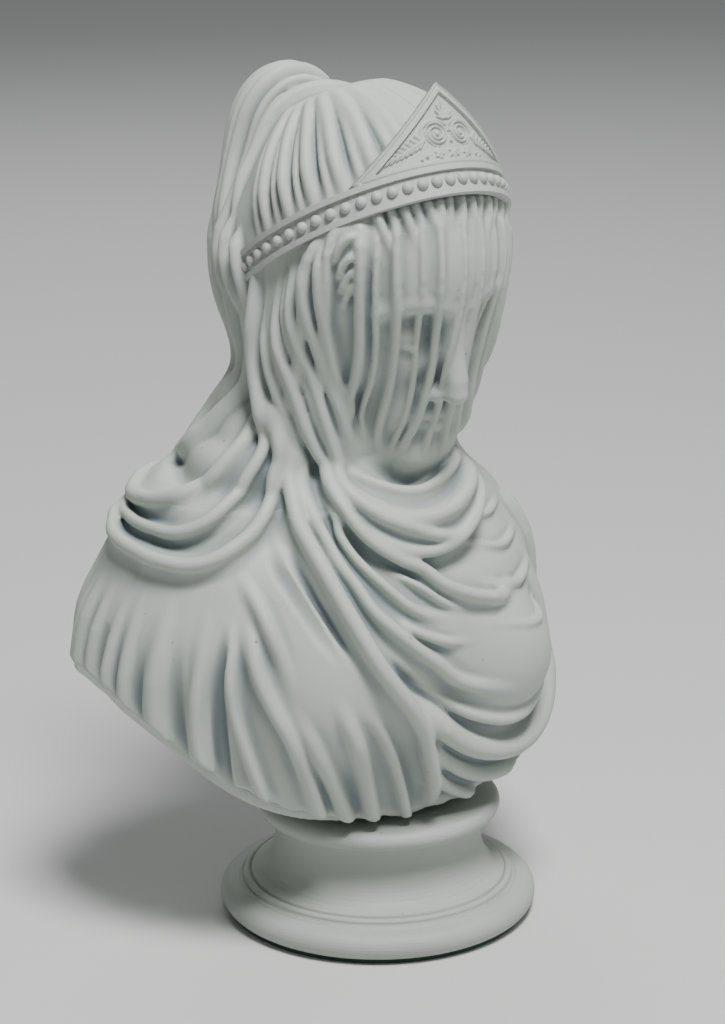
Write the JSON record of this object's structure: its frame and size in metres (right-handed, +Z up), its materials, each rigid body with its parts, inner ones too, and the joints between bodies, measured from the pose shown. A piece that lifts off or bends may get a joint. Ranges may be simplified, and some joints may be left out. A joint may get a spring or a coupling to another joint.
{
  "type": "bust",
  "caption": "Decorative cast-marble bust of a veiled woman with a beaded tiara, turning on a round turned socle",
  "frame": {"origin": "middle of the felt's underside, on the axis of the socle", "axes": "+Z up along the socle's axis; the bust's chest faces -Y, so her right shoulder is at -X"},
  "size_m": [0.1625, 0.1193, 0.2668],
  "materials": {
    "marble": "satin",
    "tiara_marble": "satin",
    "felt": "napped",
    "fibre": "matte",
    "steel": "zinc plated",
    "brass": "turned"
  },
  "bodies": {
    "socle": {"felt_pad": "felt", "socle_foot": "marble", "socle_waist": "marble", "socle_cap": "marble", "slip_washer": "fibre", "flat_washer": "steel"},
    "bust": {"torso": "marble", "head_veil": "marble", "neck_dowel": "steel", "rod_insert": "brass", "threaded_rod": "steel", "thin_nut": "steel", "spring_washer": "steel", "tiara_band": "tiara_marble", "tiara_beads": "tiara_marble", "tiara_crest": "tiara_marble", "tiara_scrolls": "tiara_marble"}
  },
  "joints": [
    {"name": "bust_swivel", "type": "hinge", "parent": "socle", "child": "bust", "pos_m": [0, 0, 0.038], "axis": [0, 0, 1], "continuous": true}
  ]
}
